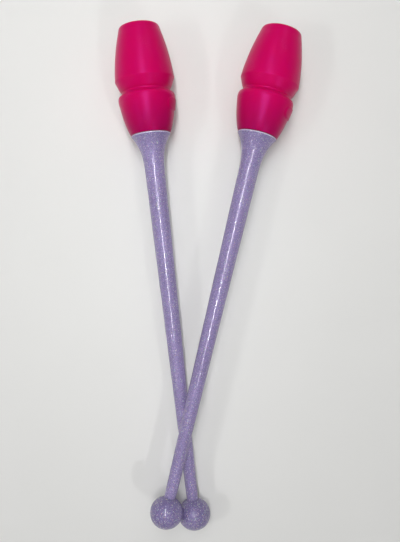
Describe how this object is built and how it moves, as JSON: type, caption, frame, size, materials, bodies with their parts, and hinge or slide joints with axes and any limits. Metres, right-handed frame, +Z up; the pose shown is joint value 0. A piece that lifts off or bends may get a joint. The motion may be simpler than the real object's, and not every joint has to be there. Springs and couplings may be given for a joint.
{
  "type": "rhythmic gymnastics clubs",
  "caption": "Slim clubs, each with a grooved soft rubber head, a hollow tapered glitter handle and a ball end, lying crossed; a socket in each head takes the other club's ball.",
  "frame": {"origin": "under the middle of the pair's box, on the plane that the clubs lie on", "axes": "+Y along the bisector of the two clubs, from the balls to the heads; +Z up; +X to the right, on the side of the upper club's head"},
  "size_m": [0.1648, 0.4508, 0.0525],
  "materials": {
    "head_rubber": "matte, slightly waxy moulded rubber, smooth",
    "handle_glitter": "glossy lilac plastic with fine glitter flakes under a clear skin",
    "ball_glitter": "glossy lilac plastic with fine glitter flakes, a little darker than the handle",
    "core_plastic": "plain off-white moulded plastic",
    "weight_steel": "plain turned steel bar",
    "plug_foam": "dark soft foam rubber"
  },
  "bodies": {
    "lower_club": {"lower_head": "head_rubber", "lower_head_core": "core_plastic", "lower_handle": "handle_glitter", "lower_ball": "ball_glitter", "lower_ball_pin": "core_plastic", "lower_balance_weight": "weight_steel", "lower_weight_plug": "plug_foam"},
    "upper_club": {"upper_head": "head_rubber", "upper_head_core": "core_plastic", "upper_handle": "handle_glitter", "upper_ball": "ball_glitter", "upper_ball_pin": "core_plastic", "upper_balance_weight": "weight_steel", "upper_weight_plug": "plug_foam"}
  },
  "joints": [
    {"name": "lift_off", "type": "slide", "parent": "lower_club", "child": "upper_club", "axis": [0, 0, 1], "range_m": [0, 0.06]}
  ]
}
